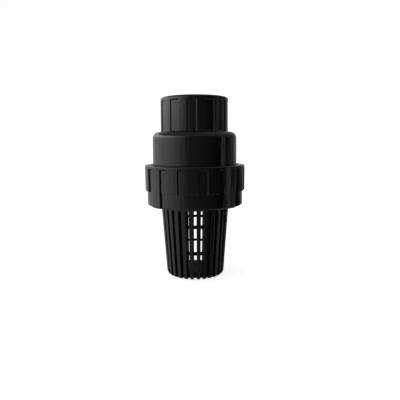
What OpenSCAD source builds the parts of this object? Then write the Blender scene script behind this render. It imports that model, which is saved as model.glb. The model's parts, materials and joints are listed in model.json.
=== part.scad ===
// Swing foot valve: a pipe socket and chamber, a union nut and a slotted strainer basket,
// with a hinged flap on a clamped seat. Millimetres, +Z up, origin at the centre of the base.

/* [Pipe socket] */
// Height of the whole valve
total_h = 234.5; // [232:0.5:238]
// Bore that takes the pipe
socket_bore_d = 73.3; // [73:0.1:73.6]
// Depth that the pipe goes in
socket_depth = 44.5; // [43:0.5:46]
// Outside of the socket, over its lands
socket_d = 90; // [88:0.5:92]
// Depth of the recesses between the lands
socket_recess = 1.3; // [0.8:0.1:2]
// Number of lands round the socket
socket_lands = 12; // [8:1:16]
// Angle of one recess
socket_recess_angle = 15.5; // [12:0.5:18]

/* [Valve body] */
// Outside of the body
body_d = 111.8; // [110:0.2:112.4]
// Inside of the valve chamber
chamber_d = 99; // [98:0.5:100]
// Height of the shoulder's top
shoulder_z = 189.3; // [188:0.1:190]
// Radius of the shoulder
shoulder_r = 8; // [5:0.5:9]
// Hole through the pipe stop
stop_hole_d = 62.8; // [60:0.2:66]

/* [Union nut] */
// Height of the nut's lower face
nut_z = 93.4; // [92:0.2:95]
// Height of the nut
nut_h = 52.8; // [50:0.2:54]
// Outside of the nut over its lands, at the top
nut_d = 133.4; // [132:0.2:135]
// How much smaller the nut is at its lower end
nut_draft = 1.4; // [0:0.2:2]
// Depth of the recesses between the lands
nut_recess = 2.0; // [1:0.1:2.5]
// Outside of the plain lower band
nut_band_d = 126.8; // [126:0.2:128]
// Height of the lower band
nut_band_h = 18.9; // [16:0.1:20]
// Number of lands round the nut
nut_lands = 16; // [16:4:16]
// Angle of one recess
nut_recess_angle = 9.5; // [8:0.5:12]
// Lead of the union thread
thread_pitch = 6; // [6:1:6]

/* [Strainer] */
// Outside of the basket under the nut
basket_top_d = 90.4; // [89:0.2:91]
// Outside of the basket at its base
basket_base_d = 75.8; // [74:0.2:78]
// Number of slots
slot_count = 28; // [24:1:30]
// Width of a slot
slot_w = 4.0; // [3.6:0.1:4.6]
// Depth of the ribs, which is the thickness of the slotted wall
basket_wall = 7.6; // [7:0.2:8.2]
// Height between the two inner rings
ring_pitch = 34.4; // [30:0.2:36]

/* [Flap] */
// Flow bore of the seat
seat_bore_d = 58; // [54:0.5:60]
// Diameter of the flap
flap_d = 68; // [66:0.5:68]
// Distance of the hinge pin behind the valve's axis
hinge_y = 39.5; // [39.5:0.1:39.5]
// Diameter of the hinge pin
pin_d = 5; // [4.6:0.1:5]

/* [Hidden] */

round_fn = 96;
front = -90;

// Stack inside the nut, from its lip up to the end of the body
face_gap = 0.1;
nut_lip_h = 5;
flange_h = 4.2;
gasket_h = 1.6;
carrier_h = 5;
flange_z = nut_z + nut_lip_h + face_gap;
gasket_z = flange_z + flange_h;
carrier_z = gasket_z + gasket_h + face_gap;
body_end_z = carrier_z + carrier_h;
flange_r = 55.8;
carrier_bore_r = 46;

// Socket
stop_z = total_h - socket_depth;
chamber_top_z = stop_z - 6;
socket_r = socket_d / 2;
socket_bore_r = socket_bore_d / 2;
socket_rim_h = 5.5;
socket_rim_r = 2.5;
socket_land_turn = front - 19.5;
body_r = body_d / 2;
chamber_r = chamber_d / 2;
chamber_corner_r = 5;

// Nut
nut_top_z = nut_z + nut_h;
nut_top_r = nut_d / 2;
nut_low_r = (nut_d - nut_draft) / 2;
nut_band_r = nut_band_d / 2;
nut_ledge_z = nut_z + nut_band_h;
nut_rim_h = 4.5;
nut_edge_r = 2;
nut_land_turn = front - 2.2;
nut_pitch_angle = 360 / nut_lands;
long_land_angle = nut_pitch_angle - nut_recess_angle - 0.6;
nut_lip_bore_r = basket_top_d / 2 + 1;
nut_pocket_r = flange_r + 0.8;

// Union thread: ridges on the body and in the nut's bore, half a lead apart
male_crest_r = 58.4;
female_root_r = 59;
female_crest_r = 56.5;
ridge_root_w = 3.4;
ridge_crest_w = 1.6;
ridge_bury = 0.5;
male_turns = 4.25;
female_turns = 4;
thread_z = body_end_z + 4.5;
thread_steps = 32;
thread_start = 10;

// Basket
slot_top_z = nut_z - 4;
basket_turn = front - 0.5;
basket_corner_r = 4.5;
basket_floor_h = 7;
ring_h = 3.5;
ring_inset = 1.2;
ring_depth = 3.4;
ring_slope = 0.9;
floor_r = basket_base_d / 2 - basket_wall - 0.1;
pad_w = 16.8;
pad_z = 16.9;
pad_h = 6.9;
pad_proud = 0.4;
pad_t = 3;

// Seat and flap stack
seat_lip_h = 1.9;
seat_lip_w = 3.5;
seat_bore_r = seat_bore_d / 2;
seal_z = body_end_z + seat_lip_h + face_gap;
seal_h = 3;
disc_z = seal_z + seal_h;
disc_h = 5;
arm_z = disc_z + disc_h;
arm_hub_h = 5;
arm_beam_h = 4;
plate_h = 1.5;
plate_r = seat_bore_r - 2.5;
bolt_r = 4;
bolt_hole_r = 4.1;
bolt_head_h = 5.3;
hex_flats = 13;
washer_h = 1.6;
washer_z = arm_z + arm_hub_h;
lock_nut_z = washer_z + washer_h;
lock_nut_h = 6.5;

// Hinge
hinge_z = body_end_z + 8.6;
pin_r = pin_d / 2;
pin_half = 14.4;
boss_r = 4.8;
boss_half = 7;
bush_r = 3.6;
bush_bore_r = pin_r + 0.06;
bush_flange_h = 1;
bush_flange_r = 4.6;
ear_x = boss_half + bush_flange_h + 0.3;
ear_w = 4;
clip_x = ear_x + ear_w + 0.1;
clip_h = 0.7;
clip_groove_r = 2;
clip_r = 4.2;
bracket_r = 46.8;
bracket_base_h = 2.6;
stop_wall_y = hinge_y + 5.2;
stop_wall_z = hinge_z + 4.5;
stop_pad_h = 5.85;
screw_x = 17;
screw_y = 40.5;
screw_r = 1.5;
screw_head_r = 2.8;
screw_head_h = 1.8;
screw_len = 6.6;
spigot_r = chamber_r - 0.3;
spigot_w = 1.9;
spigot_h = 4;
groove_r = 52.6;
groove_w = 3.2;
groove_h = 2.6;
o_ring_r = 1.25;

// A plain ring from z0 to z1
module ring(r_out, r_in, z0, z1) {
    rotate_extrude($fn = round_fn) translate([r_in, z0]) square([r_out - r_in, z1 - z0]);
}

// A curved block of the given angle, centred on the direction turn
module sector(r_out, r_in, z0, z1, turn, angle) {
    rotate([0, 0, turn - angle / 2])
        rotate_extrude(angle = angle, $fn = round_fn)
            translate([r_in, z0]) square([r_out - r_in, z1 - z0]);
}

// What the corner at [r, z] loses when it is rounded; the signs say which way the solid lies
module corner_waste(r, z, size, out, up) {
    difference() {
        translate([r - (out > 0 ? size : 1), z - (up > 0 ? size : 1)]) square(size + 1);
        translate([r - out * size, z - up * size]) circle(r = size, $fn = 48);
    }
}

// A right-hand helical ridge, trapezoidal in section, that fades out over its ends
function fade(i, n) = min(1, 0.4 + i / 6, 0.4 + (n - i) / 6);

module thread_ridge(root_r, crest_r, z0, turns, phase) {
    n = turns * thread_steps;
    points = [for (i = [0:n])
        let (a = phase + 360 * i / thread_steps,
             z = z0 + thread_pitch * i / thread_steps,
             tip_r = root_r + (crest_r - root_r) * fade(i, n))
        for (p = [[root_r, -ridge_root_w / 2], [tip_r, -ridge_crest_w / 2],
                  [tip_r, ridge_crest_w / 2], [root_r, ridge_root_w / 2]])
            [p[0] * cos(a), p[0] * sin(a), z + p[1]]];
    sides = [for (i = [0:n - 1], j = [0:3], half = [0, 1])
        let (a = 4 * i + j, b = 4 * i + (j + 1) % 4)
            half == 0 ? [a, b, b + 4] : [a, b + 4, a + 4]];
    last = 4 * n;
    caps = [[0, 2, 1], [0, 3, 2], [last, last + 1, last + 2], [last, last + 2, last + 3]];
    outward = concat(sides, caps);
    // The section turns over where the ridge points inward
    inward = [for (f = outward) [f[0], f[2], f[1]]];
    polyhedron(points, crest_r > root_r ? outward : inward);
}

module valve_body_profile() {
    difference() {
        union() {
            translate([0, body_end_z]) square([body_r, shoulder_z - body_end_z]);
            translate([0, body_end_z]) square([socket_r, total_h - body_end_z]);
        }
        corner_waste(body_r, shoulder_z, shoulder_r, 1, 1);
        corner_waste(socket_r, total_h, socket_rim_r, 1, 1);
        translate([0, body_end_z - 1]) square([stop_hole_d / 2, total_h]);
        translate([0, stop_z]) square([socket_bore_r, total_h]);
        difference() {
            translate([0, body_end_z - 1]) square([chamber_r, chamber_top_z - body_end_z + 1]);
            corner_waste(chamber_r, chamber_top_z, chamber_corner_r, 1, 1);
        }
        polygon([[socket_bore_r, total_h - 1], [socket_bore_r + 1.01, total_h + 0.01],
                 [socket_bore_r - 1, total_h + 0.01]]);
    }
}

module valve_body() {
    color("#1c1c1e") union() {
        difference() {
            rotate_extrude($fn = round_fn) valve_body_profile();
            for (i = [0:socket_lands - 1])
                sector(socket_r + 1, socket_r - socket_recess, shoulder_z, total_h - socket_rim_h,
                       socket_land_turn + (i + 0.5) * 360 / socket_lands, socket_recess_angle);
        }
        thread_ridge(body_r - ridge_bury, male_crest_r, thread_z, male_turns, thread_start);
    }
}

function nut_r(z) = nut_low_r + (nut_top_r - nut_low_r) * (z - nut_z) / nut_h;

// Outside of the nut over its lands, with draft and rounded edges
module nut_blank() {
    rotate_extrude($fn = round_fn) difference() {
        polygon([[0, nut_z], [nut_low_r, nut_z], [nut_top_r, nut_top_z], [0, nut_top_z]]);
        corner_waste(nut_r(nut_top_z - nut_edge_r), nut_top_z, nut_edge_r, 1, 1);
        corner_waste(nut_r(nut_z + nut_edge_r), nut_z, nut_edge_r, 1, -1);
    }
}

module nut_recesses() {
    for (i = [0:nut_lands - 1])
        sector(nut_top_r + 1, nut_top_r - nut_recess, nut_ledge_z - 1, nut_top_z - nut_rim_h,
               nut_land_turn + (i + 0.5) * nut_pitch_angle, nut_recess_angle);
}

// The lower band is bare except for every fourth land, which runs down to the nut's lower face,
// a little narrower than it is above the ledge
module nut_band_cut() {
    quarter = 90 - long_land_angle;
    for (i = [0:3])
        sector(nut_top_r + 1, nut_band_r, nut_z - 1, nut_ledge_z,
               nut_land_turn - 2 * nut_pitch_angle + 45 + i * 90, quarter);
}

module union_nut() {
    color("#1a1a1c") union() {
        difference() {
            nut_blank();
            nut_recesses();
            nut_band_cut();
            translate([0, 0, nut_z - 1]) cylinder(h = nut_h + 2, r = nut_lip_bore_r, $fn = round_fn);
            translate([0, 0, nut_z + nut_lip_h]) cylinder(h = nut_h, r = nut_pocket_r, $fn = round_fn);
            translate([0, 0, body_end_z + 1]) cylinder(h = nut_h, r = female_root_r, $fn = round_fn);
        }
        thread_ridge(female_root_r + ridge_bury, female_crest_r, thread_z, female_turns, thread_start + 180);
    }
}

function basket_r(z) = basket_base_d / 2 + (basket_top_d - basket_base_d) / 2 * z / nut_z;

module basket_wall_profile() {
    neck_z = slot_top_z + 0.6;
    corner_x = basket_r(basket_corner_r) - basket_corner_r;
    corner = [for (a = [0:15:90])
        [corner_x + basket_corner_r * sin(a), basket_corner_r * (1 - cos(a))]];
    difference() {
        polygon(concat([[0, 0]], corner,
                       [[basket_r(nut_z), nut_z], [basket_r(nut_z), gasket_z], [0, gasket_z]]));
        polygon([[0, basket_floor_h], [basket_r(basket_floor_h) - basket_wall, basket_floor_h],
                 [basket_r(neck_z) - basket_wall, neck_z],
                 [basket_r(neck_z) - basket_wall, gasket_z + 1], [0, gasket_z + 1]]);
    }
}

module basket_slots() {
    for (i = [0:slot_count - 1])
        rotate([0, 0, basket_turn + i * 360 / slot_count])
            translate([floor_r, -slot_w / 2, -1])
                cube([basket_top_d, slot_w, slot_top_z + 1]);
}

// Rings across the slots, leaning down towards the outside
module basket_rings() {
    half = (ring_h + ring_slope) / 2;
    for (i = [1, 2]) {
        out_r = basket_r(i * ring_pitch) - ring_inset;
        rotate_extrude($fn = round_fn) translate([0, i * ring_pitch]) polygon([
            [out_r, -half], [out_r, ring_h - half],
            [out_r - ring_depth, half], [out_r - ring_depth, half - ring_h]]);
    }
}

// Blank pad that bridges the front slot
module basket_pad() {
    intersection() {
        rotate([0, 0, basket_turn - front])
            translate([-pad_w / 2, -basket_top_d, pad_z]) cube([pad_w, basket_top_d, pad_h]);
        rotate_extrude($fn = round_fn) polygon([
            [basket_r(pad_z) - pad_t, pad_z], [basket_r(pad_z) + pad_proud, pad_z],
            [basket_r(pad_z + pad_h) + pad_proud, pad_z + pad_h],
            [basket_r(pad_z + pad_h) - pad_t, pad_z + pad_h]]);
    }
}

module strainer_basket() {
    color("#1b1b1b") union() {
        difference() {
            rotate_extrude($fn = round_fn) basket_wall_profile();
            basket_slots();
        }
        basket_rings();
        basket_pad();
        ring(flange_r, basket_r(nut_z) - basket_wall, flange_z, gasket_z);
    }
}

module seat_carrier() {
    color("#2a2a2c") difference() {
        union() {
            ring(flange_r, seat_bore_r, carrier_z, body_end_z);
            ring(seat_bore_r + seat_lip_w, seat_bore_r, body_end_z, body_end_z + seat_lip_h);
            ring(spigot_r, spigot_r - spigot_w, body_end_z, body_end_z + spigot_h);
        }
        ring(groove_r + groove_w / 2, groove_r - groove_w / 2, body_end_z - groove_h, body_end_z + 1);
        for (side = [-1, 1])
            translate([side * screw_x, screw_y, body_end_z + bracket_base_h - screw_len])
                cylinder(h = screw_len, r = screw_r, $fn = 32);
    }
}

module body_o_ring() {
    color("#101010") rotate_extrude($fn = round_fn)
        translate([groove_r, body_end_z - groove_h + o_ring_r + 0.02]) circle(r = o_ring_r, $fn = 32);
}

module flange_gasket() {
    color("#151515") ring(flange_r, carrier_bore_r, gasket_z, gasket_z + gasket_h);
}

// Base on the carrier, two ears and the wall that stops the open flap
module hinge_bracket() {
    color("#303032") difference() {
        intersection() {
            union() {
                translate([-21, hinge_y - boss_r, body_end_z]) cube([42, 20, bracket_base_h]);
                for (side = [-1, 1])
                    translate([side * (ear_x + ear_w / 2) - ear_w / 2, 0, 0]) {
                        translate([0, hinge_y - boss_r, body_end_z])
                            cube([ear_w, 2 * boss_r, hinge_z - body_end_z]);
                        translate([0, hinge_y, hinge_z]) rotate([0, 90, 0])
                            cylinder(h = ear_w, r = boss_r, $fn = 48);
                    }
                translate([-ear_x - ear_w, stop_wall_y, body_end_z])
                    cube([2 * (ear_x + ear_w), 6, stop_wall_z - body_end_z]);
            }
            translate([0, 0, body_end_z - 1]) cylinder(h = 40, r = bracket_r, $fn = round_fn);
        }
        translate([-30, hinge_y, hinge_z]) rotate([0, 90, 0]) cylinder(h = 60, r = pin_r, $fn = 48);
        for (side = [-1, 1])
            translate([side * screw_x, screw_y, body_end_z - 1])
                cylinder(h = bracket_base_h + 2, r = screw_r, $fn = 32);
    }
}

module bracket_screws() {
    color("#b8bcc0") for (side = [-1, 1])
        translate([side * screw_x, screw_y, body_end_z + bracket_base_h]) difference() {
            union() {
                translate([0, 0, -screw_len]) cylinder(h = screw_len, r = screw_r, $fn = 32);
                cylinder(h = screw_head_h, r = screw_head_r, $fn = 32);
            }
            for (turn = [0, 90])
                rotate([0, 0, turn]) translate([-1.6, -0.3, screw_head_h - 0.8]) cube([3.2, 0.6, 1]);
        }
}

module hinge_pin() {
    color("#c4c8cc") difference() {
        translate([-pin_half, hinge_y, hinge_z]) rotate([0, 90, 0])
            cylinder(h = 2 * pin_half, r = pin_r, $fn = 48);
        for (side = [-1, 1])
            translate([side * (clip_x + clip_h / 2) - clip_h / 2, hinge_y, hinge_z])
                rotate([0, 90, 0]) difference() {
                    cylinder(h = clip_h, r = pin_r + 1, $fn = 48);
                    translate([0, 0, -1]) cylinder(h = clip_h + 2, r = clip_groove_r, $fn = 48);
                }
    }
}

// Open ring that snaps into the pin's groove
module pin_clip(side) {
    color("#8a8e92")
        translate([side * (clip_x + clip_h / 2) - clip_h / 2, hinge_y, hinge_z])
            rotate([0, 90, 0]) difference() {
                cylinder(h = clip_h, r = clip_r, $fn = 48);
                translate([0, 0, -1]) cylinder(h = clip_h + 2, r = clip_groove_r, $fn = 48);
                translate([-clip_r - 1, -1.5, -1]) cube([clip_r + 1, 3, clip_h + 2]);
            }
}

module pin_clip_left() { pin_clip(-1); }

module pin_clip_right() { pin_clip(1); }

// Flanged plain bearing, pressed into one end of the arm's boss
module hinge_bush(side) {
    color("#d8d4c8")
        translate([0, hinge_y, hinge_z]) rotate([0, side * 90, 0]) difference() {
            union() {
                translate([0, 0, 0.3]) cylinder(h = boss_half - 0.3, r = bush_r, $fn = 48);
                translate([0, 0, boss_half]) cylinder(h = bush_flange_h, r = bush_flange_r, $fn = 48);
            }
            cylinder(h = 20, r = bush_bore_r, $fn = 48);
        }
}

module hinge_bush_left() { hinge_bush(-1); }

module hinge_bush_right() { hinge_bush(1); }

module flap_arm() {
    beam_w = 12;
    color("#b0b4b8") difference() {
        union() {
            translate([0, 0, arm_z]) cylinder(h = arm_hub_h, r = 10, $fn = 64);
            translate([-beam_w / 2, 0, arm_z]) cube([beam_w, hinge_y, arm_beam_h]);
            translate([-beam_w / 2, hinge_y - 5, arm_z]) cube([beam_w, 4, hinge_z + stop_pad_h - arm_z]);
            translate([-boss_half, hinge_y, hinge_z]) rotate([0, 90, 0])
                cylinder(h = 2 * boss_half, r = boss_r, $fn = 48);
        }
        translate([0, 0, arm_z - 1]) cylinder(h = 20, r = bolt_hole_r, $fn = 48);
        translate([-20, hinge_y, hinge_z]) rotate([0, 90, 0]) cylinder(h = 40, r = bush_r, $fn = 48);
    }
}

// Stiffened with a raised rim
module flap_disc() {
    flap_r = flap_d / 2;
    color("#242426") difference() {
        translate([0, 0, disc_z]) cylinder(h = disc_h, r = flap_r, $fn = round_fn);
        difference() {
            translate([0, 0, disc_z + disc_h - 1.5]) cylinder(h = 3, r = flap_r - 3, $fn = round_fn);
            translate([0, 0, disc_z]) cylinder(h = 10, r = 14, $fn = 64);
            translate([-7, 0, disc_z]) cube([14, flap_r, 10]);
        }
        translate([0, 0, disc_z - 1]) cylinder(h = 20, r = bolt_hole_r, $fn = 48);
    }
}

module disc_seal() {
    color("#0e0e0e") ring(flap_d / 2 + 0.2, bolt_hole_r, seal_z, seal_z + seal_h);
}

module seal_plate() {
    color("#c8ccd0") ring(plate_r, bolt_hole_r, seal_z - plate_h, seal_z);
}

module centre_bolt() {
    head_z = seal_z - plate_h - bolt_head_h;
    bolt_top = lock_nut_z + lock_nut_h + 1.5;
    color("#b8bcc0") union() {
        translate([0, 0, head_z]) cylinder(h = bolt_head_h, d = hex_flats / cos(30), $fn = 6);
        translate([0, 0, head_z + 1]) cylinder(h = bolt_top - head_z - 1, r = bolt_r, $fn = 48);
    }
}

module bolt_washer() {
    color("#c0c4c8") ring(8, bolt_hole_r, washer_z, washer_z + washer_h);
}

module lock_nut() {
    color("#b8bcc0") difference() {
        translate([0, 0, lock_nut_z]) cylinder(h = lock_nut_h, d = hex_flats / cos(30), $fn = 6);
        translate([0, 0, lock_nut_z - 1]) cylinder(h = lock_nut_h + 2, r = bolt_r, $fn = 48);
    }
}

valve_body();
union_nut();
strainer_basket();
seat_carrier();
body_o_ring();
flange_gasket();
hinge_bracket();
bracket_screws();
hinge_pin();
pin_clip_left();
pin_clip_right();
hinge_bush_left();
hinge_bush_right();
flap_arm();
flap_disc();
disc_seal();
seal_plate();
centre_bolt();
bolt_washer();
lock_nut();
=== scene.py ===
import json
import math

import bmesh
import bpy
from mathutils import Matrix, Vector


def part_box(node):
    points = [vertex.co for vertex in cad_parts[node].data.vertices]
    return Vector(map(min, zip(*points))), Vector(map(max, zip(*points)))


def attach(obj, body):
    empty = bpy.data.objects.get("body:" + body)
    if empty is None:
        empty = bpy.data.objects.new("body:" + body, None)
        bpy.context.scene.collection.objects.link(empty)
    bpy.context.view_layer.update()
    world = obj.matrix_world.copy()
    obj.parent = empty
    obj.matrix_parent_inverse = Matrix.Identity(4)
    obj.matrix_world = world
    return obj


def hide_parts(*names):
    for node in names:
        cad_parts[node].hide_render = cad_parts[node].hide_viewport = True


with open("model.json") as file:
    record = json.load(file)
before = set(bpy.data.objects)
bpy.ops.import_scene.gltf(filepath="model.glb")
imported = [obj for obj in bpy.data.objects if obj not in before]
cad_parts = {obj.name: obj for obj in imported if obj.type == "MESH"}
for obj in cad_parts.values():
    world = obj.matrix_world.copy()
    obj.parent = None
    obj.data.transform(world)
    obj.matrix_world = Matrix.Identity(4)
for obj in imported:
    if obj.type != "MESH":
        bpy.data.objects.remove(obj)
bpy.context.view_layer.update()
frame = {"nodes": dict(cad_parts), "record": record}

MM = 0.001
TAU = 2 * math.pi
FRONT = -math.pi / 2

# ---------------------------------------------------------------- driving sizes
socket_mount = next(m for m in frame["record"]["mounts"] if m["name"] == "pipe_socket")
body_lo, body_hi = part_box("valve_body")
nut_lo, nut_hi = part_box("union_nut")
basket_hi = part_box("strainer_basket")[1]

total_h = body_hi.z
body_end_z = body_lo.z
socket_bore_r = socket_mount["dims"]["r_mm"] * MM
mouth_chamfer = 1.0 * MM
stop_z = total_h - socket_mount["dims"]["length_mm"] * MM - mouth_chamfer
socket_r = 45.0 * MM
socket_recess = 1.3 * MM
socket_lands = 12
socket_recess_angle = math.radians(15.5)
socket_land_turn = FRONT - math.radians(19.5)
socket_rim_h = 5.5 * MM
body_r = 55.9 * MM
shoulder_z = 189.3 * MM
shoulder_r = 8.0 * MM
chamber_r = 49.5 * MM
chamber_top_z = stop_z - 6.0 * MM
stop_hole_r = 31.4 * MM

nut_z = nut_lo.z
nut_top_z = nut_hi.z
nut_top_r = nut_hi.x
nut_low_r = nut_top_r - 0.7 * MM
nut_recess = 2.0 * MM
nut_band_r = 63.4 * MM
nut_ledge_z = nut_z + 18.9 * MM
nut_rim_h = 4.5 * MM
nut_lands = 16
nut_recess_angle = math.radians(9.5)
nut_land_turn = FRONT - math.radians(2.2)
nut_lip_h = 5.0 * MM
nut_lip_bore_r = 46.2 * MM
nut_pocket_r = 56.6 * MM

thread_pitch = 6.0 * MM
male_crest_r = 58.4 * MM
female_root_r = 59.0 * MM
female_crest_r = 56.5 * MM
thread_z = body_end_z + 4.5 * MM
thread_start = math.radians(10)

gasket_z = basket_hi.z
flange_z = gasket_z - 4.2 * MM
flange_r = basket_hi.x
basket_top_r = 45.2 * MM
basket_base_r = 37.9 * MM
basket_wall = 7.6 * MM
basket_corner_r = 4.5 * MM
basket_floor_h = 7.0 * MM
slot_count = 28
slot_w = 4.0 * MM
slot_top_z = nut_z - 4.0 * MM
ring_pitch = 34.4 * MM
ring_h = 3.5 * MM
ring_inset = 1.2 * MM
ring_depth = 3.4 * MM
ring_slope = 0.9 * MM
basket_turn = FRONT - math.radians(0.5)


# ---------------------------------------------------------------- curves and meshes
def ease(t):
    """0 to 1 with a soft start and end."""
    t = max(0.0, min(1.0, t))
    return t * t * (3 - 2 * t)


def arc(cx, cz, r, start, end, steps):
    """Points of an arc in the (radius, height) plane; angles in degrees."""
    turns = [math.radians(start + (end - start) * i / steps) for i in range(steps + 1)]
    return [(cx + r * math.cos(t), cz + r * math.sin(t)) for t in turns]


def in_recess(theta, turn, count, angle, soft):
    """1 in the middle of a recess and 0 on a land, with a rounded change soft radians wide."""
    pitch = TAU / count
    off = (theta - turn) % pitch - pitch / 2
    distance = abs(off) - angle / 2
    return 1 - ease(distance / soft + 0.5)


def recess_angles(turn, count, angle, soft, plain):
    """Directions that put a few rings of points on each recess edge and plain ones between."""
    pitch = TAU / count
    result = []
    for i in range(count):
        centre = turn + (i + 0.5) * pitch
        for edge in (-1, 1):
            for k in range(-3, 4):
                result.append(centre + edge * angle / 2 + soft * k / 6)
        for k in range(1, plain):
            result.append(centre - angle / 2 + soft / 2 + (angle - soft) * k / plain)
        land = pitch - angle
        for k in range(1, plain + 1):
            result.append(centre + angle / 2 + soft / 2 + (land - soft) * k / (plain + 1))
    return sorted(t % TAU for t in result)


def make_object(name, bm, smooth_angle=32):
    """A mesh object with smooth faces, and sharp edges where the surface really turns."""
    bmesh.ops.remove_doubles(bm, verts=bm.verts, dist=1e-7)
    bmesh.ops.recalc_face_normals(bm, faces=bm.faces)
    limit = math.radians(smooth_angle)
    for f in bm.faces:
        f.smooth = True
    for e in bm.edges:
        e.smooth = len(e.link_faces) != 2 or e.calc_face_angle(0) < limit
    mesh = bpy.data.meshes.new(name)
    bm.to_mesh(mesh)
    bm.free()
    obj = bpy.data.objects.new(name, mesh)
    bpy.context.scene.collection.objects.link(obj)
    return obj


def lathe(bm, thetas, loop_at):
    """Closed ring surface: loop_at(theta) gives the closed section as (radius, height) points."""
    rings = []
    for t in thetas:
        c, s = math.cos(t), math.sin(t)
        rings.append([bm.verts.new((r * c, r * s, z)) for r, z in loop_at(t)])
    n, m = len(rings), len(rings[0])
    for i in range(n):
        a, b = rings[i], rings[(i + 1) % n]
        for j in range(m):
            k = (j + 1) % m
            bm.faces.new((a[j], b[j], b[k], a[k]))


def loft(bm, sections):
    """Closed solid through sections that have the same number of points."""
    rings = [[bm.verts.new(p) for p in section] for section in sections]
    for a, b in zip(rings, rings[1:]):
        m = len(a)
        for j in range(m):
            k = (j + 1) % m
            bm.faces.new((a[j], b[j], b[k], a[k]))
    bm.faces.new(list(reversed(rings[0])))
    bm.faces.new(rings[-1])


def thread_ridge(bm, root_r, crest_r, turns, start):
    """Right-hand helical ridge that fades out at its ends."""
    steps = int(turns * 64)
    half_root, half_crest, edge = 1.7 * MM, 0.8 * MM, 0.25 * MM
    sections = []
    for i in range(steps + 1):
        a = start + TAU * i / 64
        z = thread_z + thread_pitch * i / 64
        rise = min(1, 0.25 + i / 14, 0.25 + (steps - i) / 14)
        tip = root_r + (crest_r - root_r) * rise
        back = tip - math.copysign(edge, crest_r - root_r)
        outline = [(root_r, -half_root), (back, -half_crest - edge), (tip, -half_crest + edge),
                   (tip, half_crest - edge), (back, half_crest + edge), (root_r, half_root)]
        sections.append([(r * math.cos(a), r * math.sin(a), z + dz) for r, dz in outline])
    loft(bm, sections)


def union(base, others):
    """Joins closed solids into one closed solid."""
    for other in others:
        mod = base.modifiers.new("join", "BOOLEAN")
        mod.operation = "UNION"
        mod.solver = "MANIFOLD"
        mod.object = other
    bpy.context.view_layer.update()
    deps = bpy.context.evaluated_depsgraph_get()
    mesh = bpy.data.meshes.new_from_object(base.evaluated_get(deps))
    base.modifiers.clear()
    base.data = mesh
    for other in others:
        bpy.data.objects.remove(other)
    return base


# ---------------------------------------------------------------- pieces
def body_section(theta):
    """Section of socket and body; the socket wall sinks into a recess between lands."""
    soft = 1.3 * MM / socket_r
    deep = socket_recess * in_recess(theta, socket_land_turn, socket_lands, socket_recess_angle, soft)
    rim_z = total_h - socket_rim_h
    root = 1.6 * MM
    wall = [(socket_r + root - root * math.cos(math.radians(a)) - deep * a0,
             shoulder_z + root - root * math.sin(math.radians(a)))
            for a, a0 in ((90, 0.55), (65, 0.75), (40, 0.9), (18, 1.0))]
    wall.append((socket_r - deep, shoulder_z + root))
    for k in range(1, 5):
        wall.append((socket_r - deep, shoulder_z + root + (rim_z - shoulder_z - 3.2 * MM) * k / 5))
    for k in range(7):
        t = k / 6
        wall.append((socket_r - deep * (1 - ease(t)), rim_z - 0.8 * MM + 1.6 * MM * t))
    wall += arc(socket_r - 2.5 * MM, total_h - 2.5 * MM, 2.5 * MM, 0, 90, 8)
    outer = [(body_r - 1.0 * MM, body_end_z), (body_r, body_end_z + 1.0 * MM)]
    outer += [(body_r, body_end_z + (shoulder_z - shoulder_r - body_end_z) * k / 6) for k in range(1, 6)]
    outer += arc(body_r - shoulder_r, shoulder_z - shoulder_r, shoulder_r, 0, 90, 14)
    bore = [(socket_bore_r + mouth_chamfer + 0.5 * MM, total_h),
            (socket_bore_r + mouth_chamfer, total_h - 0.15 * MM),
            (socket_bore_r + 0.1 * MM, total_h - mouth_chamfer),
            (socket_bore_r, total_h - mouth_chamfer - 0.4 * MM),
            (socket_bore_r, (total_h + stop_z) / 2), (socket_bore_r, stop_z + 0.3 * MM),
            (socket_bore_r - 0.3 * MM, stop_z), (stop_hole_r + 0.5 * MM, stop_z),
            (stop_hole_r, stop_z - 0.5 * MM), (stop_hole_r, chamber_top_z + 0.5 * MM),
            (stop_hole_r + 0.5 * MM, chamber_top_z)]
    roof = arc(chamber_r - 5 * MM, chamber_top_z - 5 * MM, 5 * MM, 90, 0, 8)
    foot = [(chamber_r, (chamber_top_z + body_end_z) / 2), (chamber_r, body_end_z + 0.8 * MM),
            (chamber_r + 0.8 * MM, body_end_z)]
    return outer + wall + bore + roof + foot


def make_body():
    bm = bmesh.new()
    soft = 1.3 * MM / socket_r
    thetas = recess_angles(socket_land_turn, socket_lands, socket_recess_angle, soft, 5)
    lathe(bm, thetas, body_section)
    core = make_object("socket_and_body", bm)
    bm = bmesh.new()
    thread_ridge(bm, body_r - 0.5 * MM, male_crest_r, 4.25, thread_start)
    ridge = make_object("body_thread", bm)
    return core, ridge


def nut_r(z):
    return nut_low_r + (nut_top_r - nut_low_r) * (z - nut_z) / (nut_top_z - nut_z)


def on_long_land(theta):
    """1 on the four lands that run down to the nut's lower face."""
    pitch = TAU / nut_lands
    half = (pitch - nut_recess_angle) / 2
    centre = nut_land_turn + 2 * pitch
    off = (theta - centre + math.pi / 4) % (math.pi / 2) - math.pi / 4
    soft = 0.9 * MM / nut_top_r
    return 1 - ease((abs(off) - half) / soft + 0.5)


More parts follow.
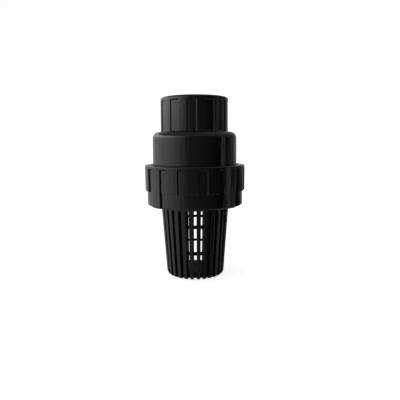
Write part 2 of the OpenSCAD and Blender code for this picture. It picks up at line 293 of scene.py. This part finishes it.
def nut_section(theta):
    soft = 1.1 * MM / nut_top_r
    deep = nut_recess * in_recess(theta, nut_land_turn, nut_lands, nut_recess_angle, soft)
    long = on_long_land(theta)
    edge = 2.2 * MM
    low_r = nut_band_r + (nut_r(nut_z) - nut_band_r) * long
    outer = arc(low_r - edge, nut_z + edge, edge, -90, 0, 7)
    outer += [(low_r, nut_z + edge + (nut_ledge_z - nut_z - edge) * k / 3) for k in (1, 2, 3)]
    wall_r = nut_r(nut_ledge_z) - deep
    step = max(wall_r - low_r, 0)
    round_r = 0.02 * MM + 0.36 * step
    outer += arc(wall_r - round_r, nut_ledge_z + 0.05 * MM + round_r, round_r, -90, 0, 5)
    rim_z = nut_top_z - nut_rim_h
    start_z = nut_ledge_z + 1.2 * MM
    for k in range(1, 5):
        z = start_z + (rim_z - 0.8 * MM - start_z) * k / 5
        outer.append((nut_r(z) - deep, z))
    for k in range(7):
        t = k / 6
        z = rim_z - 0.8 * MM + 1.6 * MM * t
        outer.append((nut_r(z) - deep * (1 - ease(t)), z))
    outer += arc(nut_top_r - 2 * MM, nut_top_z - 2 * MM, 2 * MM, 0, 90, 8)
    inner = [(female_root_r + 1.2 * MM, nut_top_z), (female_root_r, nut_top_z - 1.2 * MM),
             (female_root_r, (nut_top_z + body_end_z) / 2), (female_root_r, body_end_z + 1 * MM),
             (nut_pocket_r, body_end_z + 1 * MM), (nut_pocket_r, nut_z + nut_lip_h),
             (nut_lip_bore_r + 0.4 * MM, nut_z + nut_lip_h),
             (nut_lip_bore_r, nut_z + nut_lip_h - 0.4 * MM),
             (nut_lip_bore_r, nut_z + 0.8 * MM), (nut_lip_bore_r + 0.8 * MM, nut_z)]
    return outer + inner


def make_nut():
    bm = bmesh.new()
    soft = 1.1 * MM / nut_top_r
    thetas = recess_angles(nut_land_turn, nut_lands, nut_recess_angle, soft, 4)
    lathe(bm, thetas, nut_section)
    core = make_object("union_nut_shell", bm)
    bm = bmesh.new()
    thread_ridge(bm, female_root_r + 0.5 * MM, female_crest_r, 4.0, thread_start + math.pi)
    ridge = make_object("nut_thread", bm)
    return core, ridge


def basket_r(z):
    return basket_base_r + (basket_top_r - basket_base_r) * z / nut_z


def rib_outline(z, turn):
    """Rib between two slots at height z: arcs outside and inside, rounded corners."""
    outer_r, inner_r = basket_r(z), basket_r(z) - basket_wall
    if z < basket_corner_r:
        up = basket_corner_r - z
        outer_r = basket_r(basket_corner_r) - basket_corner_r + math.sqrt(
            max(basket_corner_r ** 2 - up ** 2, 1e-12))
    if z < basket_floor_h:
        inner_r = basket_base_r - basket_wall - 1.5 * MM
    half_pitch = math.pi / slot_count
    round_r = min(0.55 * MM, (outer_r - inner_r) * 0.45)
    points = []
    for radius, sign, steps in ((outer_r, 1, 4), (inner_r, -1, 2)):
        inset = radius - sign * round_r
        side = []
        for k in range(4):
            a = math.pi / 2 * k / 3
            r = inset + sign * round_r * math.sin(a)
            w = slot_w / 2 + round_r * (1 - math.cos(a))
            side.append((r, half_pitch - math.asin(w / r)))
        across = [(radius, side[-1][1] * (1 - 2 * k / steps)) for k in range(1, steps)]
        run = [(r, a) for r, a in side] + across + [(r, -a) for r, a in reversed(side)]
        points += run if sign > 0 else [(r, -a) for r, a in run]
    return [(r * math.cos(turn + a), r * math.sin(turn + a), z) for r, a in points]


def make_rib(i):
    turn = basket_turn + (i + 0.5) * TAU / slot_count
    heights = [basket_corner_r * (1 - math.cos(math.radians(a)))
               for a in (0, 12, 24, 36, 48, 60, 72, 84)]
    heights += [basket_floor_h - 0.05 * MM, basket_floor_h + 0.3 * MM, basket_floor_h + 1.5 * MM]
    heights += [slot_top_z * k / 8 for k in range(1, 9)] + [slot_top_z + 1.0 * MM]
    bm = bmesh.new()
    loft(bm, [rib_outline(z, turn) for z in sorted(heights)])
    return make_object("rib_%02d" % i, bm)


def ring_solid(name, loop, steps=168):
    bm = bmesh.new()
    thetas = [TAU * (k + 0.37) / steps for k in range(steps)]
    lathe(bm, thetas, lambda t: loop)
    return make_object(name, bm)


def make_floor():
    """Closed floor plate with a softly rounded rim, a little inside the ribs' inner faces."""
    rim = basket_base_r - basket_wall - 0.1 * MM
    edge = 1.2 * MM
    outline = arc(rim - edge, edge + 0.1 * MM, edge, -90, 0, 5)
    outline += arc(rim - 0.5 * MM, basket_floor_h - 0.5 * MM, 0.5 * MM, 0, 90, 3)
    bm = bmesh.new()
    steps = 168
    rings = []
    for r, z in outline:
        rings.append([bm.verts.new((r * math.cos(TAU * (k + 0.37) / steps),
                                    r * math.sin(TAU * (k + 0.37) / steps), z)) for k in range(steps)])
    for a, b in zip(rings, rings[1:]):
        for j in range(steps):
            k = (j + 1) % steps
            bm.faces.new((a[j], a[k], b[k], b[j]))
    bm.faces.new(list(reversed(rings[0])))
    bm.faces.new(rings[-1])
    return make_object("basket_floor", bm)


def make_neck():
    """Plain collar above the slots, with the flange that the nut clamps."""
    inner = basket_r(slot_top_z) - basket_wall
    loop = [(inner, slot_top_z), (basket_r(slot_top_z), slot_top_z), (basket_top_r, nut_z),
            (basket_top_r, flange_z - 0.5 * MM), (basket_top_r + 0.5 * MM, flange_z),
            (flange_r - 0.4 * MM, flange_z), (flange_r, flange_z + 0.4 * MM),
            (flange_r, gasket_z - 0.4 * MM), (flange_r - 0.4 * MM, gasket_z),
            (inner + 0.5 * MM, gasket_z), (inner, gasket_z - 0.5 * MM)]
    return ring_solid("basket_neck", loop)


def make_hoop(i):
    """Inner ring across the slots, leaning down towards the outside."""
    mid_z = i * ring_pitch
    half_w, half_h, edge = ring_depth / 2, ring_h / 2, 0.5 * MM
    mid_r = basket_r(mid_z) - ring_inset - half_w
    loop = []
    for cr, cz, start in ((1, -1, -90), (1, 1, 0), (-1, 1, 90), (-1, -1, 180)):
        loop += arc(mid_r + cr * (half_w - edge), mid_z + cz * (half_h - edge), edge, start, start + 90, 3)
    loop = [(r, z - ring_slope * (r - mid_r) / ring_depth) for r, z in loop]
    return ring_solid("basket_hoop_%d" % i, loop)


def make_pad():
    """Blank pad over the front slot, slightly proud of the ribs, with soft edges."""
    z0, z1, half_w, proud, deep = 16.9 * MM, 23.8 * MM, 8.4 * MM, 0.4 * MM, 3 * MM
    round_in = 0.9 * MM
    bm = bmesh.new()
    sections = []
    cols = 20
    for k in range(cols + 1):
        side = -1 + 2 * k / cols
        x = half_w * math.sin(side * math.pi / 2)
        edge = 1 - min(1.0, (half_w - abs(x)) / round_in)
        fall_x = 1 - math.sqrt(1 - edge ** 2)
        section = []
        for z, lift in ((z0, 1.0), (z0 + 0.12 * MM, 0.55), (z0 + 0.4 * MM, 0.2), (z0 + round_in, 0.0),
                        (z1 - round_in, 0.0), (z1 - 0.4 * MM, 0.2), (z1 - 0.12 * MM, 0.55), (z1, 1.0)):
            r = basket_r(z) + proud - round_in * max(fall_x, 0.7 * lift)
            section.append((x, -math.sqrt(r * r - x * x), z))
        for z in (z1, z0):
            r = basket_r(z) - deep
            section.append((x, -math.sqrt(r * r - x * x), z))
        sections.append(section)
    loft(bm, sections)
    obj = make_object("basket_pad", bm)
    obj.data.transform(Matrix.Rotation(basket_turn - FRONT, 4, "Z"))
    return obj


def make_basket():
    neck = make_neck()
    parts = [make_rib(i) for i in range(slot_count)]
    parts += [make_hoop(1), make_hoop(2), make_floor(), make_pad()]
    solid = union(neck, parts)
    bm = bmesh.new()
    bm.from_mesh(solid.data)
    bpy.data.objects.remove(solid)
    return make_object("strainer_shell", bm, 28)


# ---------------------------------------------------------------- materials
def nodes_of(name):
    mat = bpy.data.materials.new(name)
    mat.use_nodes = True
    tree = mat.node_tree
    shader = next(n for n in tree.nodes if n.type == "BSDF_PRINCIPLED")
    return mat, tree, shader


def noise(tree, scale, detail, rough=0.5, stretch=None):
    """Noise in object space; scale is in cycles a metre."""
    coord = tree.nodes.new("ShaderNodeTexCoord")
    tex = tree.nodes.new("ShaderNodeTexNoise")
    tex.inputs["Scale"].default_value = scale
    tex.inputs["Detail"].default_value = detail
    tex.inputs["Roughness"].default_value = rough
    source = coord.outputs["Object"]
    if stretch:
        mapping = tree.nodes.new("ShaderNodeMapping")
        mapping.inputs["Scale"].default_value = stretch
        tree.links.new(source, mapping.inputs["Vector"])
        source = mapping.outputs["Vector"]
    tree.links.new(source, tex.inputs["Vector"])
    return tex.outputs["Fac"]


def remap(tree, value, low, high, to_low, to_high):
    node = tree.nodes.new("ShaderNodeMapRange")
    for key, number in zip(("From Min", "From Max", "To Min", "To Max"), (low, high, to_low, to_high)):
        node.inputs[key].default_value = number
    tree.links.new(value, node.inputs["Value"])
    return node.outputs["Result"]


def ramp(tree, value, stops):
    node = tree.nodes.new("ShaderNodeValToRGB")
    while len(node.color_ramp.elements) < len(stops):
        node.color_ramp.elements.new(0.5)
    for element, (place, colour) in zip(node.color_ramp.elements, stops):
        element.position = place
        element.color = (*colour, 1)
    tree.links.new(value, node.inputs["Fac"])
    return node.outputs["Color"]


def mix_colour(tree, factor, a, b):
    node = tree.nodes.new("ShaderNodeMix")
    node.data_type = "RGBA"
    tree.links.new(factor, node.inputs["Factor"])
    for value, socket in ((a, node.inputs[6]), (b, node.inputs[7])):
        if isinstance(value, tuple):
            socket.default_value = (*value, 1)
        else:
            tree.links.new(value, socket)
    return node.outputs[2]


def bump(tree, height, strength, distance, before=None):
    node = tree.nodes.new("ShaderNodeBump")
    node.inputs["Strength"].default_value = strength
    node.inputs["Distance"].default_value = distance
    tree.links.new(height, node.inputs["Height"])
    if before:
        tree.links.new(before, node.inputs["Normal"])
    return node.outputs["Normal"]


def edge_wear(tree, low, high):
    """Follows convex edges, broken up by noise."""
    geometry = tree.nodes.new("ShaderNodeNewGeometry")
    edges = remap(tree, geometry.outputs["Pointiness"], low, high, 0, 1)
    patch = remap(tree, noise(tree, 180, 3), 0.42, 0.62, 0, 1)
    node = tree.nodes.new("ShaderNodeMath")
    node.operation = "MULTIPLY"
    tree.links.new(edges, node.inputs[0])
    tree.links.new(patch, node.inputs[1])
    return node.outputs[0]


def black_plastic(name, base, rough, spread, grain, flow, gloss=0.5):
    """Moulded plastic: fine grain, faint flow marks, handled edges and uneven gloss."""
    mat, tree, shader = nodes_of(name)
    lighter = tuple(c * 1.9 + 0.004 for c in base)
    tone = ramp(tree, noise(tree, 38, 4), [(0.35, base), (0.7, tuple(c * 1.35 for c in base))])
    worn = mix_colour(tree, edge_wear(tree, 0.52, 0.6), tone, lighter)
    tree.links.new(worn, shader.inputs["Base Color"])
    patches = remap(tree, noise(tree, 26, 5, 0.6), 0.3, 0.75, rough - spread, rough + spread)
    tree.links.new(patches, shader.inputs["Roughness"])
    fine = bump(tree, noise(tree, 2600, 2), grain, 0.00004)
    broad = bump(tree, noise(tree, 150, 3, 0.6, (1, 1, flow)), 0.7, 0.0006, fine)
    tree.links.new(broad, shader.inputs["Normal"])
    shader.inputs["IOR"].default_value = 1.54
    shader.inputs["Specular IOR Level"].default_value = gloss
    return mat


def painted_shade_inside(mat):
    """The basket's gloss fades on the slot walls and the inside: painted shade for the dark slots and
    interior, partly a more matt inner surface.
    """
    tree = mat.node_tree
    shader = next(n for n in tree.nodes if n.type == "BSDF_PRINCIPLED")
    gloss = shader.inputs["Specular IOR Level"].default_value
    coord = tree.nodes.new("ShaderNodeTexCoord")
    split = tree.nodes.new("ShaderNodeSeparateXYZ")
    tree.links.new(coord.outputs["Object"], split.inputs["Vector"])
    flat = tree.nodes.new("ShaderNodeVectorMath")
    flat.operation = "MULTIPLY"
    flat.inputs[1].default_value = (1, 1, 0)
    tree.links.new(coord.outputs["Object"], flat.inputs[0])
    radius = tree.nodes.new("ShaderNodeVectorMath")
    radius.operation = "LENGTH"
    tree.links.new(flat.outputs["Vector"], radius.inputs[0])
    skin = remap(tree, split.outputs["Z"], 0, nut_z, basket_base_r, basket_top_r)
    depth = tree.nodes.new("ShaderNodeMath")
    depth.operation = "SUBTRACT"
    tree.links.new(skin, depth.inputs[0])
    tree.links.new(radius.outputs["Value"], depth.inputs[1])
    # Specular level falls with depth below the outer skin: painted shade in the slots and on the inside.
    outside = remap(tree, depth.outputs[0], 0.5 * MM, 1.1 * MM, gloss, 0.03)
    underside = remap(tree, split.outputs["Z"], 0.6 * MM, 1.6 * MM, gloss, 0.03)
    best = tree.nodes.new("ShaderNodeMath")
    best.operation = "MAXIMUM"
    tree.links.new(outside, best.inputs[0])
    tree.links.new(underside, best.inputs[1])
    tree.links.new(best.outputs[0], shader.inputs["Specular IOR Level"])
    return mat


def rubber(name, base):
    mat, tree, shader = nodes_of(name)
    tone = ramp(tree, noise(tree, 60, 5), [(0.3, base), (0.75, tuple(c * 1.8 for c in base))])
    tree.links.new(tone, shader.inputs["Base Color"])
    tree.links.new(remap(tree, noise(tree, 120, 4), 0.3, 0.7, 0.6, 0.82), shader.inputs["Roughness"])
    tree.links.new(bump(tree, noise(tree, 1500, 3), 0.3, 0.00006), shader.inputs["Normal"])
    return mat


def steel(name, base, rough, stretch):
    mat, tree, shader = nodes_of(name)
    dark = tuple(c * 0.72 for c in base)
    tone = ramp(tree, noise(tree, 70, 5, 0.6), [(0.3, dark), (0.65, base)])
    tree.links.new(tone, shader.inputs["Base Color"])
    brushed = noise(tree, 500, 3, 0.6, stretch)
    tree.links.new(remap(tree, brushed, 0.3, 0.7, rough - 0.08, rough + 0.1), shader.inputs["Roughness"])
    tree.links.new(bump(tree, brushed, 0.15, 0.00005), shader.inputs["Normal"])
    shader.inputs["Metallic"].default_value = 1.0
    return mat


def acetal(name, base):
    mat, tree, shader = nodes_of(name)
    tone = ramp(tree, noise(tree, 120, 4), [(0.3, base), (0.7, tuple(c * 0.88 for c in base))])
    tree.links.new(tone, shader.inputs["Base Color"])
    tree.links.new(remap(tree, noise(tree, 300, 3), 0.3, 0.7, 0.32, 0.45), shader.inputs["Roughness"])
    tree.links.new(bump(tree, noise(tree, 2200, 2), 0.15, 0.00004), shader.inputs["Normal"])
    shader.inputs["Subsurface Weight"].default_value = 0.1
    shader.inputs["Subsurface Scale"].default_value = 0.001
    return mat


MATERIALS = {
    "body_plastic": black_plastic("body_plastic", (0.0024, 0.0025, 0.0028), 0.12, 0.04, 0.08, 0.12),
    "nut_plastic": black_plastic("nut_plastic", (0.0024, 0.0025, 0.0027), 0.12, 0.04, 0.08, 0.12),
    "strainer_plastic": painted_shade_inside(black_plastic("strainer_plastic", (0.0024, 0.0024, 0.0026),
                                                  0.26, 0.05, 0.10, 0.06, 0.4)),
    "seat_plastic": black_plastic("seat_plastic", (0.028, 0.029, 0.031), 0.42, 0.06, 0.2, 1.0),
    "seal_rubber": rubber("seal_rubber", (0.012, 0.012, 0.012)),
    "stainless_steel": steel("stainless_steel", (0.62, 0.63, 0.64), 0.28, (1, 1, 8)),
    "spring_steel": steel("spring_steel", (0.42, 0.43, 0.45), 0.34, (8, 1, 1)),
    "bush_plastic": acetal("bush_plastic", (0.72, 0.69, 0.62)),
}


def dress(obj, slot_name):
    obj.data.materials.clear()
    obj.data.materials.append(MATERIALS[slot_name])


def place(obj, body, node, slot_name):
    """A finished visual piece: it rides on its body and stands for its CAD node."""
    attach(obj, body)
    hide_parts(node)
    dress(obj, slot_name)
    normals = obj.modifiers.new("weighted_normals", "WEIGHTED_NORMAL")
    normals.keep_sharp = True


# ---------------------------------------------------------------- build
for piece in make_body():
    place(piece, "valve", "valve_body", "body_plastic")
for piece in make_nut():
    place(piece, "nut", "union_nut", "nut_plastic")
place(make_basket(), "basket", "strainer_basket", "strainer_plastic")

for part in frame["record"]["subparts"]:
    node = frame["nodes"][part["node"]]
    dress(node, part["material_slot"])


# ---------------------------------------------------------------- floor, light and camera
def make_stage():
    """Pale round floor that curves up into a pale wall; gloss on the valve ignores it."""
    floor_r, bend, high = 1.3, 0.7, 2.4
    line = [(r, 0.0) for r in (0.02, 0.3, 0.7, floor_r)]
    line += [(floor_r + bend * math.sin(math.radians(a)), bend * (1 - math.cos(math.radians(a))))
             for a in range(9, 91, 9)]
    line.append((floor_r + bend, high))
    bm = bmesh.new()
    steps = 96
    rings = [[bm.verts.new((r * math.cos(TAU * k / steps), r * math.sin(TAU * k / steps), z))
              for k in range(steps)] for r, z in line]
    bm.faces.new(rings[0])
    for low, up in zip(rings, rings[1:]):
        for j in range(steps):
            k = (j + 1) % steps
            bm.faces.new((low[j], up[j], up[k], low[k]))
    for f in bm.faces:
        f.smooth = True
    mesh = bpy.data.meshes.new("backdrop")
    bm.to_mesh(mesh)
    bm.free()
    obj = bpy.data.objects.new("backdrop", mesh)
    bpy.context.scene.collection.objects.link(obj)
    mat, tree, shader = nodes_of("pale_paper")
    tone = ramp(tree, noise(tree, 3, 2), [(0.3, (0.84, 0.84, 0.84)), (0.7, (0.88, 0.88, 0.88))])
    tree.links.new(tone, shader.inputs["Base Color"])
    shader.inputs["Roughness"].default_value = 0.9
    shader.inputs["Specular IOR Level"].default_value = 0.1
    shader.inputs["Emission Color"].default_value = (1, 1, 1, 1)
    shader.inputs["Emission Strength"].default_value = 0.78
    obj.data.materials.append(mat)
    obj.visible_glossy = False
    obj.visible_diffuse = False
    obj.visible_shadow = False


dark_level = 0.01
overhead_level = 0.3


def light_band(window, fill, back, strips):
    """Light round the horizon as (degrees, level); 0 is in front and minus is to the left.

    A source is (middle, half width, width of its soft edge, level).
    """
    sources = [(-92, 20, 55, window), (-20, 0, 90, fill), (180, 10, 40, back)] + strips
    places = {-180, 180}
    for middle, half, soft, _ in sources:
        for edge in (half, half + soft):
            places |= {(middle + side * edge + 180) % 360 - 180 for side in (-1, 1)}
    stops = []
    for place_at in sorted(places):
        total = dark_level
        for middle, half, soft, level in sources:
            away = abs((place_at - middle + 180) % 360 - 180)
            total += level * max(0, min(1, (half + soft - away) / soft))
        stops.append((place_at, total))
    return stops


def make_world():
    """Soft studio: a tall window on the left, a dim front, narrow strips on the right, a pale back."""
    around = light_band(0.95, 0.15, 0.5, [(82, 2, 8, 0.4), (130, 15, 12, 0.15)])
    above = light_band(2.5, 0.15, 0.3, [(110, 30, 30, 0.17)])
    below = light_band(0.95, 0.15, 0.5, [(82, 2, 8, 0.5), (104, 2, 7, 0.35)])
    deep = light_band(0.65, 0.3, 0.3, [(97, 12, 18, 0.35)])
    world = bpy.data.worlds.new("studio")
    bpy.context.scene.world = world
    world.use_nodes = True
    tree = world.node_tree
    background = tree.nodes["Background"]
    coord = tree.nodes.new("ShaderNodeTexCoord")
    split = tree.nodes.new("ShaderNodeSeparateXYZ")
    tree.links.new(coord.outputs["Generated"], split.inputs["Vector"])
    flip = tree.nodes.new("ShaderNodeMath")
    flip.operation = "MULTIPLY"
    flip.inputs[1].default_value = -1
    tree.links.new(split.outputs["Y"], flip.inputs[0])
    turn = tree.nodes.new("ShaderNodeMath")
    turn.operation = "ARCTAN2"
    tree.links.new(split.outputs["X"], turn.inputs[0])
    tree.links.new(flip.outputs[0], turn.inputs[1])
    place_on_ramp = remap(tree, turn.outputs[0], -math.pi, math.pi, 0, 1)
    level = max(v for a, v in around + above + below + deep)
    floor, low, mid, high = (
        ramp(tree, place_on_ramp, [((a + 180) / 360, (v / level,) * 3) for a, v in stops])
        for stops in (deep, below, around, above))
    grey = (overhead_level / level,) * 3
    mixed = grey
    for start, end, band in ((-0.62, -0.45, floor), (-0.28, -0.17, low), (-0.13, -0.03, mid),
                             (0.02, 0.22, high), (0.38, 0.52, grey)):
        rise = remap(tree, split.outputs["Z"], start, end, 0, 1)
        mixed = mix_colour(tree, rise, mixed, band)
    tree.links.new(mixed, background.inputs["Color"])
    background.inputs["Strength"].default_value = level


def make_camera():
    """Camera in front, a little above the middle and tipped down slightly."""
    distance, height = 0.538, 0.1731
    tip, roll = math.radians(3.2), math.radians(-0.4)
    data = bpy.data.cameras.new("camera")
    data.sensor_width = 36
    data.lens = 36
    data.shift_x = 0.0131
    data.shift_y = -0.0835
    cam = bpy.data.objects.new("camera", data)
    cam.location = (0, -distance, height)
    aim = Matrix.Rotation(math.pi / 2 - tip, 3, "X") @ Matrix.Rotation(roll, 3, "Z")
    cam.rotation_euler = aim.to_euler()
    bpy.context.scene.collection.objects.link(cam)
    bpy.context.scene.camera = cam


make_stage()
make_world()
make_camera()
bpy.context.scene.view_settings.view_transform = "Standard"
